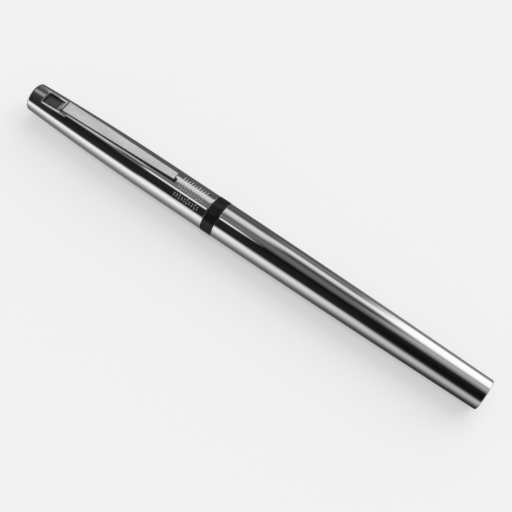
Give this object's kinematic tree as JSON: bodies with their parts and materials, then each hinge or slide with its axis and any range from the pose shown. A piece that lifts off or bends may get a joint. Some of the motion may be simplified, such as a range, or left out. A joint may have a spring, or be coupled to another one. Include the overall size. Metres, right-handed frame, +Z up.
{
  "type": "technical pen",
  "caption": "Capped refillable technical drawing pen: chromed cap with sprung pocket clip, black collar, tapering chromed barrel, screw-in drawing point.",
  "frame": {"origin": "on the pen's axis, in the middle of the black collar ring", "axes": "+X along the axis from the cap to the barrel's closed end, +Z up on the side of the pocket clip, pen lying flat"},
  "size_m": [0.1406, 0.0102, 0.0115],
  "materials": {
    "chrome_shell": "bright chrome plate, mirror polished",
    "clip_steel": "flat face brushed lengthwise, bright edges",
    "carrier_steel": "dull turned steel",
    "pin_steel": "ground",
    "spring_steel": "drawn wire",
    "inner_plastic": "moulded, fine grain",
    "seal_plastic": "moulded",
    "seal_rubber": "soft black rubber",
    "grip_plastic": "satin black",
    "collar_plastic": "polished black",
    "feed_plastic": "off-white moulding",
    "cartridge_plastic": "milky translucent, ink inside",
    "ball_steel": "polished ball",
    "point_plastic": "satin black",
    "code_plastic": "ochre ring",
    "tube_steel": "hard-chromed tube",
    "weight_brass": "turned brass",
    "bush_brass": "turned brass"
  },
  "bodies": {
    "section": {"grip_section": "grip_plastic", "collar_ring": "collar_plastic", "feed_core": "feed_plastic", "feed_o_ring": "seal_rubber"},
    "cap": {"cap_shell": "chrome_shell", "clip_carrier": "carrier_steel", "clip_pivot_pin": "pin_steel", "clip_spring": "spring_steel", "inner_cap": "inner_plastic", "cap_clutch_ring": "spring_steel", "seal_spring": "spring_steel"},
    "clip": {"pocket_clip": "clip_steel"},
    "seal": {"seal_bell": "seal_plastic", "seal_lip": "seal_rubber"},
    "point_seat": {"point_o_ring": "seal_rubber"},
    "point": {"point_body": "point_plastic", "line_width_ring": "code_plastic", "drawing_tube": "tube_steel", "weight_retainer": "feed_plastic"},
    "weight": {"drop_weight": "weight_brass", "cleaning_wire": "tube_steel"},
    "cartridge": {"ink_cartridge": "cartridge_plastic"},
    "ball": {"cartridge_seal_ball": "ball_steel"},
    "barrel": {"barrel_shell": "chrome_shell", "barrel_bush": "bush_brass", "barrel_o_ring": "seal_rubber", "barrel_liner": "inner_plastic"}
  },
  "joints": [
    {"name": "cap_pull", "type": "slide", "parent": "section", "child": "cap", "axis": [-1, 0, 0], "range_m": [0, 0.042]},
    {"name": "clip_lift", "type": "hinge", "parent": "cap", "child": "clip", "pos_m": [-0.05076, 0, 0.00155], "axis": [0, -1, 0], "range_deg": [0, 5], "deforming": ["clip_spring"]},
    {"name": "seal_press", "type": "slide", "parent": "cap", "child": "seal", "axis": [-1, 0, 0], "range_m": [0, 0.0012], "deforming": ["seal_spring"]},
    {"name": "point_back_off", "type": "slide", "parent": "section", "child": "point_seat", "axis": [-1, 0, 0], "range_m": [0, 0.002]},
    {"name": "point_turn", "type": "hinge", "parent": "point_seat", "child": "point", "pos_m": [-0.026, 0, 0], "axis": [-1, 0, 0], "range_deg": [0, 1440]},
    {"name": "weight_slide", "type": "slide", "parent": "point", "child": "weight", "axis": [1, 0, 0], "range_m": [0, 0.0016]},
    {"name": "cartridge_pull", "type": "slide", "parent": "section", "child": "cartridge", "axis": [1, 0, 0], "range_m": [0, 0.006]},
    {"name": "ball_roll", "type": "slide", "parent": "cartridge", "child": "ball", "axis": [1, 0, 0], "range_m": [0, 0.026]},
    {"name": "barrel_draw", "type": "slide", "parent": "section", "child": "barrel", "axis": [1, 0, 0], "range_m": [0, 0.054]}
  ],
  "couplings": [
    {"joint": "point_turn", "follows": "point_back_off", "rad_per_m": 12566}
  ]
}
